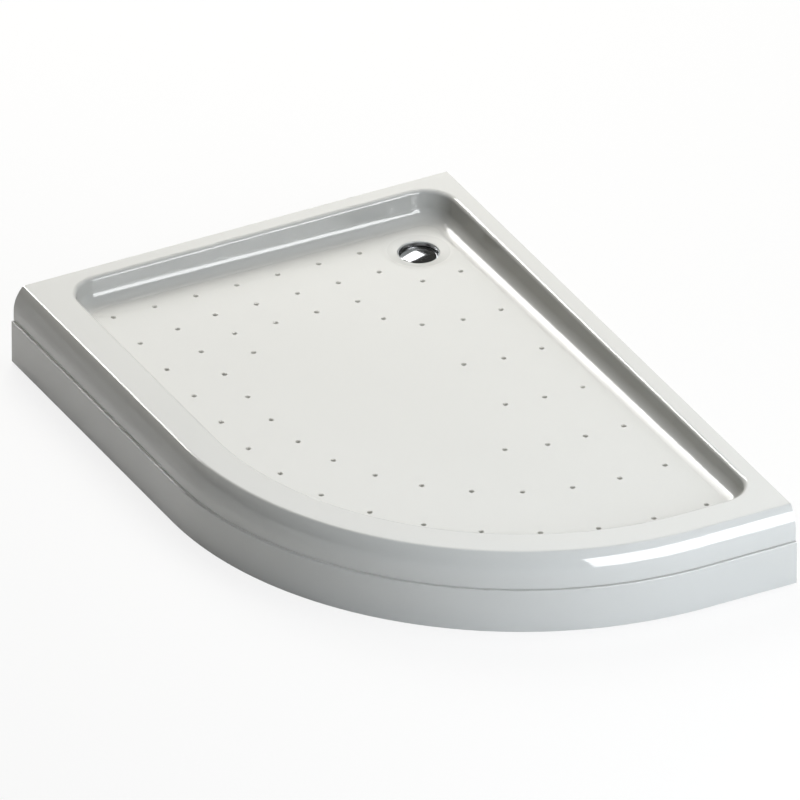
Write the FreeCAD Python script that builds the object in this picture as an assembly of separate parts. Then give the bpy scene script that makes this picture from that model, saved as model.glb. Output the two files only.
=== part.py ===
"""Offset-quadrant shower tray with a pull-off apron, levelling feet and a trapped waste.

Frame: millimetres, +Z up, origin on the floor under the middle of the plan.
The long wall side is at +Y, the short wall side at -X, and the bow is at +X, -Y.
The height is stacked up from the floor: trap, waste recess, basin.
"""
import FreeCAD
import Part
import math
import os

# Plan
LENGTH = 1200.0
WIDTH = 800.0
RIGHT_RUN = 165.0

# Acrylic shell: rim, shoulder, lip
SHELL_T = 5.0
RIM_WALL = 31.0
RIM_FRONT = 80.0
RIM_ROUND = 8.0
LIP_INSET = 4.0
SHOULDER_R = 62.0
SHOULDER_INSET = 22.0
SHOULDER_EDGE_R = 4.0
SHOULDER_INNER_EDGE_R = 1.0

# Basin
BASIN_CORNER_R = 55.0
BASIN_DRAFT_DEG = 8.0
BASIN_FILLET_R = 25.0
BASIN_DEPTH = 50.0
FALL_X = 0.0115
FALL_Y = 0.011

# Anti-slip bumps: domes in three rings, each with straight rows and a bow.
# Places are measured from the outer faces of the long wall, short wall and front sides.
BUMP_D = 9.0
BUMP_H = 1.5
BUMP_ROOT = 0.8
BUMP_BACK_START = 218.7
BUMP_BACK_PITCH = 140.4
BUMP_SIDE_START = 209.5
BUMP_SIDE_PITCH = 75.2
RING_1_BACK = 90.4
RING_1_BACK_COUNT = 7
RING_1_SIDE = 91.5
RING_1_SIDE_COUNT = 7
RING_1_FRONT = 139.0
RING_1_FRONT_PITCH = 94.8
RING_1_FRONT_COUNT = 5
RING_1_BOW_STEP_DEG = 10.95
RING_1_BOW_COUNT = 8
RING_2_BACK = 160.3
RING_2_BACK_COUNT = 5
RING_2_SIDE = 160.5
RING_2_SIDE_COUNT = 5
RING_2_FRONT = 214.5
RING_2_FRONT_PITCH = 81.9
RING_2_FRONT_COUNT = 5
RING_2_BOW_R = 416.7
RING_2_BOW_BACK = 58.0
RING_2_BOW_DROP = 5.0
RING_2_BOW_START_DEG = 79.5
RING_2_BOW_STEP_DEG = 11.27
RING_2_BOW_COUNT = 8
RING_3_BACK = 227.0
RING_3_BACK_START = 343.0
RING_3_BACK_PITCH = 144.3
RING_3_BACK_COUNT = 4
RING_3_SIDE = 228.3
RING_3_SIDE_SKIP = 1
RING_3_SIDE_COUNT = 4
RING_3_TURN = 297.0
RING_3_TURN_BACK = 273.5
RING_3_TURN_FRONT = 511.6
RING_3_END = 758.6
RING_3_END_BACK = 296.0

# Waste recess in the floor
DRAIN_SIDE = 127.0
DRAIN_BACK = 119.0
DISH_R = 61.0
DISH_DEPTH = 4.0
SUMP_R = 34.5
SUMP_DEPTH = 20.0
SUMP_EDGE = 1.5
WASTE_HOLE_R = 25.0

# Layers under the shell
BACKING_T = 3.0
BACKING_TOP_DROP = 12.0
CORE_T = 4.0
BOARD_T = 18.0
BOARD_WALL = 75.0
BOARD_FRONT = 125.0
BOARD_CORNER_R = 20.0
DRAIN_CUT_GAP = 8.5

# Apron panel
APRON_T = 4.0
APRON_TOP = 79.0
APRON_FLOOR_GAP = 2.0
APRON_TOP_RETURN = 30.0
APRON_BOTTOM_RETURN = 15.0
LIP_GAP = 0.5

# Apron brackets and clips
POST_INSET = 34.0
POST_R = 5.0
POST_END = 8.0
ARM_W = 30.0
ARM_T = 3.0
ARM_HOLD = 55.0
ARM_NOSE = 12.0
ARM_SCREW_EDGE = 15.0
ARM_SCREW_PITCH = 25.0
LEFT_BRACKET = 220.0
BOW_START_BRACKET = 115.0
RIGHT_BRACKET = 100.0
CLIP_JAW = 3.7
CLIP_GAP = 0.3
CLIP_MOUTH = 9.0
CLIP_DROP = 7.0
CLIP_H = 20.0

# Levelling feet
STUD_R = 6.0
STUD_ENTRY = 6.0
STUD_CHAMFER = 1.0
STUD_ROOM = 1.0
THREAD_GAP = 0.1
PAD_R = 25.0
PAD_RIM_H = 6.0
PAD_EDGE_R = 2.0
PAD_HUB_AF = 24.0
PAD_H = 18.0
PAD_SOLE = 4.0
PLATE_W = 60.0
PLATE_T = 3.0
PLATE_CORNER_R = 6.0
NUT_AF = 19.0
WELD_NUT_H = 10.0
JAM_NUT_H = 7.0
FOOT_EDGE = 45.0
FOOT_RIGHT_EDGE = 95.0
FOOT_DRAIN = 215.0
FOOT_BOW_EDGE = 110.0

# Wood screws
SCREW_R = 2.0
SCREW_PILOT_GAP = 0.05
SCREW_HOLE_GAP = 0.4
SCREW_HEAD_R = 4.2
SCREW_HEAD_H = 2.6
SCREW_GRIP = 12.0
SCREW_EDGE = 8.0

# Waste fitting
GASKET_T = 2.0
LOWER_GASKET_T = 3.0
FLANGE_T = 3.0
FLANGE_GAP = 0.5
FLANGE_WALL_T = 1.0
FLANGE_WALL_DROP = 0.5
TAIL_GAP = 0.5
TAIL_WALL = 2.5
TAIL_REACH = 7.0
SEAT_STEP = 2.0
SEAT_DEPTH = 2.0
CUP_GAP = 1.5
CUP_WALL = 1.7
CUP_FLOOR_GAP = 3.5
CUP_RIM_T = 1.5
CUP_RIM_GAP = 0.4
CUP_HANDLE_W = 3.0
CUP_HANDLE_H = 4.0
CUP_HANDLE_DROP = 5.0
RING_DROP = 9.0
RING_SECTION_R = 1.1
RING_FIT = 0.05
RING_GROOVE_H = 2.8
COVER_GAP = 3.5
COVER_T = 2.5
COVER_LIFT = 5.0
COVER_EDGE_R = 0.8
COVER_RIM_W = 2.0
COVER_DISH = 1.8
COVER_LEG_GAP = 0.1
COVER_LEG_W = 6.0
COVER_LEG_EDGE = 0.6

# Trap and outlet
TRAP_FLOOR_GAP = 6.0
TRAP_H = 43.0
TRAP_WALL = 2.5
TRAP_CHANNEL = 12.5
COLLAR_H = 9.0
COLLAR_WALL = 4.4
COLLAR_FLANGE_W = 8.0
COLLAR_FLANGE_T = 3.0
WEIR_GAP = 8.5
WEIR_WALL = 2.0
WEIR_H = 23.5
PORT_R = 22.0
PORT_WALL = 4.0
PORT_ROOT = 6.0
PORT_LENGTH = 16.0
OUTLET_R = 20.0
OUTLET_NECK = 0.5
OUTLET_WALL = 2.5
OUTLET_LENGTH = 35.0
OUTLET_SEAL_T = 3.0
OUTLET_SEAL_GAP = 0.2
OUTLET_FLANGE_T = 3.0
UNION_WALL = 3.0
UNION_GRIP = 12.0
UNION_FACE_T = 3.3
UNION_GAP = 0.2
UNION_RIB_R = 1.4
UNION_RIBS = 12

# Plan places
X_LEFT = -LENGTH / 2
X_RIGHT = LENGTH / 2
Y_FRONT = -WIDTH / 2
Y_BACK = WIDTH / 2
BOW_R = WIDTH - RIGHT_RUN
BOW_X = X_RIGHT - BOW_R
BOW_Y = Y_FRONT + BOW_R
DRAIN_X = X_LEFT + DRAIN_SIDE
DRAIN_Y = Y_BACK - DRAIN_BACK
DIAGONAL = math.sqrt(0.5)

# Heights, from the floor up
TRAP_TOP = TRAP_FLOOR_GAP + TRAP_H
COLLAR_TOP = TRAP_TOP + COLLAR_H
SUMP_Z = COLLAR_TOP + LOWER_GASKET_T + SHELL_T
DISH_Z = SUMP_Z + SUMP_DEPTH
FLOOR_Z = DISH_Z + DISH_DEPTH
HEIGHT = FLOOR_Z + BASIN_DEPTH
BOARD_TOP = FLOOR_Z - SHELL_T - BACKING_T - CORE_T
BOARD_Z = BOARD_TOP - BOARD_T
LIP_BOTTOM = APRON_TOP + LIP_GAP
PLATE_BOTTOM = BOARD_Z - PLATE_T
WELD_NUT_BOTTOM = PLATE_BOTTOM - WELD_NUT_H
ARM_BOTTOM = BOARD_Z - ARM_T
CLIP_TOP = ARM_BOTTOM - CLIP_DROP
CLIP_BOTTOM = CLIP_TOP - CLIP_H
FLANGE_BOTTOM = SUMP_Z + GASKET_T
FLANGE_TOP = FLANGE_BOTTOM + FLANGE_T
CUP_RIM_BOTTOM = FLANGE_TOP - SEAT_DEPTH
CUP_RIM_TOP = CUP_RIM_BOTTOM + CUP_RIM_T
COVER_BOTTOM = CUP_RIM_TOP + COVER_LIFT
RING_Z = CUP_RIM_BOTTOM - RING_DROP
CHAMBER_Z = TRAP_FLOOR_GAP + TRAP_WALL
OUTLET_Z = TRAP_FLOOR_GAP + PORT_R

# Radii and reaches around the waste, from the hole outwards
DRAIN_CUT_R = SUMP_R + SHELL_T + DRAIN_CUT_GAP
TAIL_R = WASTE_HOLE_R - TAIL_GAP
TAIL_BORE_R = TAIL_R - TAIL_WALL
SEAT_R = TAIL_BORE_R + SEAT_STEP
CUP_R = TAIL_BORE_R - CUP_GAP
CUP_BORE_R = CUP_R - CUP_WALL
CUP_RIM_R = SEAT_R - CUP_RIM_GAP
RING_R = TAIL_BORE_R - RING_FIT - RING_SECTION_R
COLLAR_BORE_R = TAIL_R + THREAD_GAP
COLLAR_R = COLLAR_BORE_R + COLLAR_WALL
COLLAR_FLANGE_R = COLLAR_R + COLLAR_FLANGE_W
WEIR_R = CUP_R + WEIR_GAP + WEIR_WALL
TRAP_R = WEIR_R + TRAP_CHANNEL + TRAP_WALL
PORT_END = TRAP_R + PORT_LENGTH
PORT_BORE_R = PORT_R - PORT_WALL
SEAL_R = PORT_R - OUTLET_SEAL_GAP
SEAL_END = PORT_END + OUTLET_SEAL_T
OUTLET_FLANGE_END = SEAL_END + OUTLET_FLANGE_T
OUTLET_END = SEAL_END + OUTLET_LENGTH
OUTLET_BORE_R = OUTLET_R - OUTLET_WALL
UNION_START = PORT_END - UNION_GRIP
UNION_FACE = OUTLET_FLANGE_END + UNION_GAP
UNION_END = UNION_FACE + UNION_FACE_T
UNION_BORE_R = PORT_R + THREAD_GAP
UNION_R = UNION_BORE_R + UNION_WALL

UP = FreeCAD.Vector(0, 0, 1)


def vec(x, y, z=0.0):
    return FreeCAD.Vector(x, y, z)


# Shared shapes

def cylinder(x, y, z0, z1, radius):
    return Part.makeCylinder(radius, z1 - z0, vec(x, y, z0))


def outlet_cylinder(start, end, radius):
    """A cylinder on the outlet's axis, from start to end measured from the drain's centre."""
    return Part.makeCylinder(radius, end - start, vec(DRAIN_X, DRAIN_Y + start, OUTLET_Z), vec(0, 1))


def hexagon(x, y, z0, z1, across_flats):
    corner = across_flats / math.sqrt(3)
    turns = [math.radians(60 * k) for k in range(7)]
    points = [vec(x + corner * math.cos(a), y + corner * math.sin(a), z0) for a in turns]
    return Part.Face(Part.makePolygon(points)).extrude(vec(0, 0, z1 - z0))


def rounded_wire(x0, y0, x1, y1, z, radii):
    """A rectangle whose corners, counted from (x0, y0) anticlockwise, have these radii."""
    corners = [(x0, y0), (x1, y0), (x1, y1), (x0, y1)]
    into = [(0, -1), (1, 0), (0, 1), (-1, 0)]
    edges = []
    starts = []
    ends = []
    for (cx, cy), (ix, iy), (ox, oy), r in zip(corners, into, into[1:] + into[:1], radii):
        start = vec(cx - ix * r, cy - iy * r, z)
        end = vec(cx + ox * r, cy + oy * r, z)
        if r:
            middle = vec(
                cx - ix * r + ox * r + (ix - ox) * DIAGONAL * r,
                cy - iy * r + oy * r + (iy - oy) * DIAGONAL * r,
                z,
            )
            edges.append(Part.Arc(start, middle, end).toShape())
        starts.append(start)
        ends.append(end)
    for end, start in zip(ends, starts[1:] + starts[:1]):
        edges.append(Part.LineSegment(end, start).toShape())
    return Part.Wire(Part.sortEdges(edges)[0])


def plan_wire(wall, front, z, corner=0.0):
    """The tray's plan, moved in by wall on the wall sides and by front on the front sides."""
    radii = [corner, BOW_R - front, corner, corner]
    return rounded_wire(X_LEFT + wall, Y_FRONT + front, X_RIGHT - front, Y_BACK - wall, z, radii)


def plan_block(wall, front, z0, z1, corner=0.0):
    return Part.Face(plan_wire(wall, front, z0, corner)).extrude(vec(0, 0, z1 - z0))


def bow_point(inset, angle_deg):
    """A point at this inset from the bow's face, at an angle measured from +X towards -Y."""
    angle = math.radians(angle_deg)
    reach = BOW_R - inset
    return BOW_X + reach * math.cos(angle), BOW_Y - reach * math.sin(angle)


# Shell: lip and shoulder

def shoulder_cutter(offset, edge_r):
    """What is taken off the front sides above the shoulder, for a skin moved in by offset."""
    top = HEIGHT - offset
    radius = SHOULDER_R - offset
    face = LIP_INSET + offset
    mid = LIP_INSET + SHOULDER_R
    low = HEIGHT - math.sqrt(SHOULDER_R**2 - (mid - SHOULDER_INSET) ** 2)
    edge_z = top - edge_r
    edge_in = mid - math.sqrt((radius - edge_r) ** 2 - (edge_z - low) ** 2)
    lean = math.atan2(edge_z - low, mid - edge_in)
    shoulder_top = (mid - radius * math.cos(lean), low + radius * math.sin(lean))
    shoulder_mid = (mid - radius * math.cos(lean / 2), low + radius * math.sin(lean / 2))
    half = (lean + math.pi / 2) / 2
    edge_mid = (edge_in - edge_r * math.cos(half), edge_z + edge_r * math.sin(half))
    past = LIP_INSET + offset
    above = top + past

    def at(point):
        return vec(X_LEFT - past, Y_FRONT + point[0], point[1])

    edges = [
        Part.Arc(at((edge_in, top)), at(edge_mid), at(shoulder_top)).toShape(),
        Part.Arc(at(shoulder_top), at(shoulder_mid), at((face, low))).toShape(),
        Part.makePolygon([at((face, low)), at((-past, low)), at((-past, above)), at((edge_in, above))]),
        Part.LineSegment(at((edge_in, above)), at((edge_in, top))).toShape(),
    ]
    profile = Part.Face(Part.Wire([edge for part in edges for edge in part.Edges]))
    front = profile.extrude(vec(BOW_X - X_LEFT + past, 0))
    turned = profile.translated(vec(BOW_X - X_LEFT + past, 0))
    bow = turned.revolve(vec(BOW_X, BOW_Y), UP, 90)
    turned.rotate(vec(BOW_X, BOW_Y), UP, 90)
    right = turned.extrude(vec(0, Y_BACK - BOW_Y + past))
    return front.fuse([bow, right])


def lip_skin():
    """The rim plate with its shoulder, lip and wall-side flanges, still without the basin."""
    outside = plan_block(0, LIP_INSET, LIP_BOTTOM, HEIGHT).cut(shoulder_cutter(0, SHOULDER_EDGE_R))
    inside = plan_block(SHELL_T, LIP_INSET + SHELL_T, LIP_BOTTOM - SHELL_T, HEIGHT - SHELL_T)
    inside = inside.cut(shoulder_cutter(SHELL_T, SHOULDER_INNER_EDGE_R))
    return outside.cut(inside)


# Shell: basin and waste recess

def floor_z(x, y):
    return FLOOR_Z + FALL_X * (x - DRAIN_X) + FALL_Y * (DRAIN_Y - y)


def basin(grow, top):
    """The basin's hollow as a solid, grown outwards, with its floor edge rounded."""
    low = FLOOR_Z - BASIN_FILLET_R - grow
    wires = []
    for z in (top, low):
        run = (HEIGHT - z) * math.tan(math.radians(BASIN_DRAFT_DEG)) - grow
        wires.append(plan_wire(RIM_WALL + run, RIM_FRONT + run, z, BASIN_CORNER_R - run))
    hollow = Part.makeLoft(wires, True, True)
    corners = [(X_LEFT, Y_FRONT), (X_RIGHT, Y_FRONT), (X_RIGHT, Y_BACK), (X_LEFT, Y_BACK), (X_LEFT, Y_FRONT)]
    plane = Part.makePolygon([vec(x, y, floor_z(x, y) - grow) for x, y in corners])
    hollow = hollow.cut(Part.Face(plane).extrude(vec(0, 0, -HEIGHT)))
    edges = []
    for edge in hollow.Edges:
        middle = edge.valueAt((edge.FirstParameter + edge.LastParameter) / 2)
        if abs(middle.z - floor_z(middle.x, middle.y) + grow) < 0.01:
            edges.append(edge)
    return hollow.makeFillet(BASIN_FILLET_R + grow, edges)


def dish(drop, grow):
    """The shallow cone around the waste, lowered by drop and widened by grow."""
    slope = (DISH_R - SUMP_R - SUMP_EDGE) / DISH_DEPTH
    rise = DISH_DEPTH + BUMP_H
    small = SUMP_R + SUMP_EDGE + grow
    return Part.makeCone(small, small + slope * rise, rise, vec(DRAIN_X, DRAIN_Y, DISH_Z - drop))


def on_floor(x, y):
    """Whether a bump here stands on the flat of the floor, clear of the rounding along the walls."""
    edge = BASIN_DEPTH * math.tan(math.radians(BASIN_DRAFT_DEG)) + BASIN_FILLET_R + BUMP_D / 2
    front = RIM_FRONT + edge
    on_bow = x < BOW_X or y > BOW_Y or math.hypot(x - BOW_X, y - BOW_Y) < BOW_R - front
    in_x = X_LEFT + RIM_WALL + edge < x < X_RIGHT - front
    return on_bow and in_x and Y_FRONT + front < y < Y_BACK - RIM_WALL - edge


def bump_places():
    """The (x, y) of each bump, ring by ring."""
    places = []
    for back, count in ((RING_1_BACK, RING_1_BACK_COUNT), (RING_2_BACK, RING_2_BACK_COUNT)):
        for k in range(count):
            places.append((X_LEFT + BUMP_BACK_START + BUMP_BACK_PITCH * k, Y_BACK - back))
    for side, skip, count in (
        (RING_1_SIDE, 0, RING_1_SIDE_COUNT),
        (RING_2_SIDE, 0, RING_2_SIDE_COUNT),
        (RING_3_SIDE, RING_3_SIDE_SKIP, RING_3_SIDE_COUNT),
    ):
        for k in range(skip, skip + count):
            places.append((X_LEFT + side, Y_BACK - BUMP_SIDE_START - BUMP_SIDE_PITCH * k))
    for front, pitch, count in (
        (RING_1_FRONT, RING_1_FRONT_PITCH, RING_1_FRONT_COUNT),
        (RING_2_FRONT, RING_2_FRONT_PITCH, RING_2_FRONT_COUNT),
    ):
        for k in range(1, count + 1):
            places.append((X_LEFT + RING_1_SIDE + pitch * k, Y_FRONT + front))
    for k in range(1, RING_1_BOW_COUNT + 1):
        places.append(bow_point(RING_1_FRONT, 90 - RING_1_BOW_STEP_DEG * k))
    for k in range(RING_2_BOW_COUNT):
        x, y = bow_point(BOW_R - RING_2_BOW_R, RING_2_BOW_START_DEG - RING_2_BOW_STEP_DEG * k)
        places.append((x - RING_2_BOW_BACK, y - RING_2_BOW_DROP))
    for k in range(RING_3_BACK_COUNT):
        places.append((X_LEFT + RING_3_BACK_START + RING_3_BACK_PITCH * k, Y_BACK - RING_3_BACK))
    places.append((X_LEFT + RING_3_TURN, Y_BACK - RING_3_TURN_BACK))
    places.append((X_LEFT + RING_3_TURN, Y_BACK - RING_3_TURN_FRONT))
    places.append((X_LEFT + RING_3_END, Y_BACK - RING_3_END_BACK))
    return [(x, y) for x, y in places if on_floor(x, y)]


def bumps():
    radius = ((BUMP_D / 2) ** 2 + BUMP_H**2) / (2 * BUMP_H)
    base = radius - BUMP_H - BUMP_ROOT
    dome = Part.makeSphere(radius, vec(0, 0), UP, math.degrees(math.asin(base / radius)), 90, 360)
    return [dome.translated(vec(x, y, floor_z(x, y) + BUMP_H - radius)) for x, y in bump_places()]


def tray_shell(outer_basin):
    recess = cylinder(DRAIN_X, DRAIN_Y, SUMP_Z - SHELL_T, DISH_Z, SUMP_R + SHELL_T)
    shell = lip_skin().fuse([outer_basin, dish(SHELL_T, SHELL_T), recess])
    hollow = basin(0, HEIGHT + RIM_ROUND)
    shell = shell.cut([hollow, dish(0, 0), cylinder(DRAIN_X, DRAIN_Y, SUMP_Z, FLOOR_Z, SUMP_R)])
    shell = shell.cut(cylinder(DRAIN_X, DRAIN_Y, SUMP_Z - 2 * SHELL_T, FLOOR_Z, WASTE_HOLE_R))
    inside_rim = plan_block(RIM_WALL - 1, RIM_FRONT - 1, HEIGHT - 1, HEIGHT + 1, BASIN_CORNER_R)
    rim_edges = []
    for edge in shell.Edges:
        box = edge.BoundBox
        middle = edge.valueAt((edge.FirstParameter + edge.LastParameter) / 2)
        at_top = abs(box.ZMin - HEIGHT) + abs(box.ZMax - HEIGHT) < 0.01
        if at_top and inside_rim.isInside(middle, 0.01, False):
            rim_edges.append(edge)
    shell = shell.makeFillet(RIM_ROUND, rim_edges)
    return shell.fuse(bumps())


# Layers under the shell

def grp_backing(outer_basin):
    """Fibreglass laid over the outside of the basin, stopped short of the rim and the waste."""
    layer = basin(SHELL_T + BACKING_T, HEIGHT - BACKING_TOP_DROP).cut([outer_basin, dish(SHELL_T, SHELL_T)])
    return layer.cut(cylinder(DRAIN_X, DRAIN_Y, SUMP_Z - SHELL_T, FLOOR_Z, DRAIN_CUT_R))


def support_core():
    """The filler between the falling floor and the flat board."""
    block = plan_block(BOARD_WALL, BOARD_FRONT, BOARD_TOP, HEIGHT, BOARD_CORNER_R)
    block = block.cut(basin(SHELL_T + BACKING_T, HEIGHT + SHELL_T))
    return block.cut(cylinder(DRAIN_X, DRAIN_Y, BOARD_TOP, FLOOR_Z, DISH_R + SHELL_T))


def base_board():
    board = plan_block(BOARD_WALL, BOARD_FRONT, BOARD_Z, BOARD_TOP, BOARD_CORNER_R)
    holes = [cylinder(DRAIN_X, DRAIN_Y, BOARD_Z, BOARD_TOP, DRAIN_CUT_R)]
    for x, y in foot_places():
        holes.append(cylinder(x, y, BOARD_Z, BOARD_TOP, STUD_R + STUD_ROOM))
    pilot_top = BOARD_Z + SCREW_GRIP + SCREW_HOLE_GAP
    for x, y in plate_screw_places() + bracket_screw_places():
        holes.append(cylinder(x, y, BOARD_Z, pilot_top, SCREW_R + SCREW_PILOT_GAP))
    return board.cut(holes)


# Levelling feet

def foot_places():
    left = X_LEFT + BOARD_WALL + FOOT_EDGE
    back = Y_BACK - BOARD_WALL - FOOT_EDGE
    front = Y_FRONT + BOARD_FRONT + FOOT_EDGE
    right = X_RIGHT - BOARD_FRONT - FOOT_RIGHT_EDGE
    beside_drain = DRAIN_X + FOOT_DRAIN
    before_drain = DRAIN_Y - FOOT_DRAIN
    bow_x, bow_y = bow_point(BOARD_FRONT + FOOT_BOW_EDGE, 45)
    return [
        (left, front),
        (left, before_drain),
        (beside_drain, back),
        ((beside_drain + right) / 2, back),
        (right, back),
        (BOW_X, front),
        (bow_x, bow_y),
        ((left + bow_x) / 2, (before_drain + bow_y) / 2),
    ]


def plate_screw_places():
    reach = PLATE_W / 2 - SCREW_EDGE
    corners = [(-reach, -reach), (reach, -reach), (reach, reach), (-reach, reach)]
    return [(x + dx, y + dy) for x, y in foot_places() for dx, dy in corners]


def foot_plate(x, y):
    half = PLATE_W / 2
    outline = rounded_wire(x - half, y - half, x + half, y + half, PLATE_BOTTOM, [PLATE_CORNER_R] * 4)
    plate = Part.Face(outline).extrude(vec(0, 0, PLATE_T))
    plate = plate.fuse(hexagon(x, y, WELD_NUT_BOTTOM, PLATE_BOTTOM, NUT_AF))
    return plate.cut(cylinder(x, y, WELD_NUT_BOTTOM, BOARD_Z, STUD_R + THREAD_GAP))


def foot_plates():
    holes = [cylinder(x, y, PLATE_BOTTOM, BOARD_Z, SCREW_R + SCREW_HOLE_GAP) for x, y in plate_screw_places()]
    return Part.makeCompound([foot_plate(x, y).cut(holes) for x, y in foot_places()])


def jam_nuts():
    nuts = []
    low = WELD_NUT_BOTTOM - JAM_NUT_H
    for x, y in foot_places():
        nut = hexagon(x, y, low, WELD_NUT_BOTTOM, NUT_AF)
        nuts.append(nut.cut(cylinder(x, y, low, WELD_NUT_BOTTOM, STUD_R + THREAD_GAP)))
    return Part.makeCompound(nuts)


def foot_stud(x, y):
    stud = cylinder(x, y, PAD_SOLE, BOARD_Z + STUD_ENTRY, STUD_R)
    return stud.makeChamfer(STUD_CHAMFER, [edge for edge in stud.Edges if edge.Closed])


def foot_pad(x, y):
    rim = cylinder(x, y, 0, PAD_RIM_H, PAD_R)
    rim = rim.makeFillet(PAD_EDGE_R, [edge for edge in rim.Edges if edge.BoundBox.ZMin > PAD_RIM_H / 2])
    pad = rim.fuse(hexagon(x, y, 0, PAD_H, PAD_HUB_AF))
    return pad.cut(cylinder(x, y, PAD_SOLE, PAD_H, STUD_R + THREAD_GAP))


def wood_screw(x, y, under):
    """A pan-head screw whose head bears on a plate's lower face at this height."""
    head = cylinder(x, y, under - SCREW_HEAD_H, under, SCREW_HEAD_R)
    head = head.makeFillet(SCREW_HEAD_H / 2, [edge for edge in head.Edges if edge.BoundBox.ZMax < under])
    return head.fuse(cylinder(x, y, under, BOARD_Z + SCREW_GRIP, SCREW_R))


def wood_screws(places, under):
    return Part.makeCompound([wood_screw(x, y, under) for x, y in places])


# Apron panel, its brackets and clips

def apron_panel():
    """A channel that follows the two front sides and the bow, open at the walls."""
    past = -POST_INSET
    bottom = APRON_FLOOR_GAP
    panel = plan_block(0, 0, bottom, APRON_TOP)
    panel = panel.cut(plan_block(past, APRON_T, bottom + APRON_T, APRON_TOP - APRON_T))
    panel = panel.cut(plan_block(past, APRON_TOP_RETURN, APRON_TOP - APRON_T, HEIGHT))
    return panel.cut(plan_block(past, APRON_BOTTOM_RETURN, 0, bottom + APRON_T))


def bracket_frames():
    """For each bracket: its post's (x, y) and the way that its arm points outwards."""
    post_y = Y_FRONT + POST_INSET
    return [
        ((X_LEFT + LEFT_BRACKET, post_y), (0, -1)),
        ((BOW_X - BOW_START_BRACKET, post_y), (0, -1)),
        (bow_point(POST_INSET, 45), (DIAGONAL, -DIAGONAL)),
        ((X_RIGHT - POST_INSET, Y_BACK - RIGHT_BRACKET), (1, 0)),
    ]


def arm_length():
    return BOARD_FRONT - POST_INSET + ARM_HOLD


def bar(origin, way, start, end, width, z0, z1):
    """A flat bar along way from origin, between two distances, with its width across."""
    side = (-way[1], way[0])
    points = []
    for along, across in ((start, -1), (end, -1), (end, 1), (start, 1), (start, -1)):
        x = origin[0] + way[0] * along + side[0] * across * width / 2
        y = origin[1] + way[1] * along + side[1] * across * width / 2
        points.append(vec(x, y, z0))
    return Part.Face(Part.makePolygon(points)).extrude(vec(0, 0, z1 - z0))


def bracket_screw_places():
    places = []
    for (x, y), (wx, wy) in bracket_frames():
        for k in range(2):
            back = arm_length() - ARM_SCREW_EDGE - ARM_SCREW_PITCH * k
            places.append((x - wx * back, y - wy * back))
    return places


def apron_brackets():
    """Steel arms screwed under the board, each with a post for a clip at its outer end."""
    holes = [cylinder(x, y, ARM_BOTTOM, BOARD_Z, SCREW_R + SCREW_HOLE_GAP) for x, y in bracket_screw_places()]
    brackets = []
    for post, way in bracket_frames():
        arm = bar(post, way, -arm_length(), ARM_NOSE, ARM_W, ARM_BOTTOM, BOARD_Z)
        arm = arm.fuse(cylinder(*post, CLIP_BOTTOM - POST_END, ARM_BOTTOM, POST_R))
        brackets.append(arm.cut(holes))
    return Part.makeCompound(brackets)


def apron_clips():
    """Fork clips on the back of the panel, open on the side away from the pull."""
    pull = (DIAGONAL, -DIAGONAL)
    inside = plan_block(-POST_INSET, APRON_T, CLIP_BOTTOM, CLIP_TOP)
    slot_r = POST_R + CLIP_GAP
    width = 2 * (slot_r + CLIP_JAW)
    clips = []
    for post, _ in bracket_frames():
        fork = bar(post, pull, -CLIP_MOUTH, 2 * POST_INSET, width, CLIP_BOTTOM, CLIP_TOP)
        slot = bar(post, pull, -2 * CLIP_MOUTH, 0, 2 * slot_r, CLIP_BOTTOM, CLIP_TOP)
        fork = fork.cut([slot, cylinder(*post, CLIP_BOTTOM, CLIP_TOP, slot_r)])
        clips.append(fork.common(inside))
    return Part.makeCompound(clips)


# Waste fitting

def drain_cylinder(z0, z1, radius):
    return cylinder(DRAIN_X, DRAIN_Y, z0, z1, radius)


def drain_tube(z0, z1, outer, inner):
    return drain_cylinder(z0, z1, outer).cut(drain_cylinder(z0, z1, inner))


def waste_flange():
    """The chrome cup that lines the recess, with its threaded tail and the seat for the dip tube's rim."""
    reach = SUMP_R - FLANGE_GAP
    wall_top = DISH_Z - SUMP_EDGE - FLANGE_WALL_DROP
    ring = drain_tube(FLANGE_BOTTOM, FLANGE_TOP, reach, TAIL_BORE_R)
    wall = drain_tube(FLANGE_TOP, wall_top, reach, reach - FLANGE_WALL_T)
    tail = drain_tube(TRAP_TOP - TAIL_REACH, FLANGE_BOTTOM, TAIL_R, TAIL_BORE_R)
    return ring.fuse([wall, tail]).cut(drain_cylinder(CUP_RIM_BOTTOM, FLANGE_TOP, SEAT_R))


def upper_gasket():
    return drain_tube(SUMP_Z, FLANGE_BOTTOM, SUMP_R - FLANGE_GAP, WASTE_HOLE_R)


def lower_gasket():
    return drain_tube(COLLAR_TOP, COLLAR_TOP + LOWER_GASKET_T, COLLAR_FLANGE_R - FLANGE_GAP, WASTE_HOLE_R)


def trap_cup():
    """The lift-out dip tube, with a rim that sits in the flange and a cross handle."""
    cup = drain_tube(CHAMBER_Z + CUP_FLOOR_GAP, CUP_RIM_BOTTOM, CUP_R, CUP_BORE_R)
    cup = cup.fuse(drain_tube(CUP_RIM_BOTTOM, CUP_RIM_TOP, CUP_RIM_R, CUP_BORE_R))
    groove_r = RING_R - RING_SECTION_R - RING_FIT
    cup = cup.cut(drain_tube(RING_Z - RING_GROOVE_H / 2, RING_Z + RING_GROOVE_H / 2, CUP_R, groove_r))
    top = CUP_RIM_TOP - CUP_HANDLE_DROP
    reach = CUP_R - CUP_WALL / 2
    for way in ((1, 0), (0, 1)):
        cup = cup.fuse(bar((DRAIN_X, DRAIN_Y), way, -reach, reach, CUP_HANDLE_W, top - CUP_HANDLE_H, top))
    return cup


def cup_o_ring():
    return Part.makeTorus(RING_R, RING_SECTION_R, vec(DRAIN_X, DRAIN_Y, RING_Z))


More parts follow.
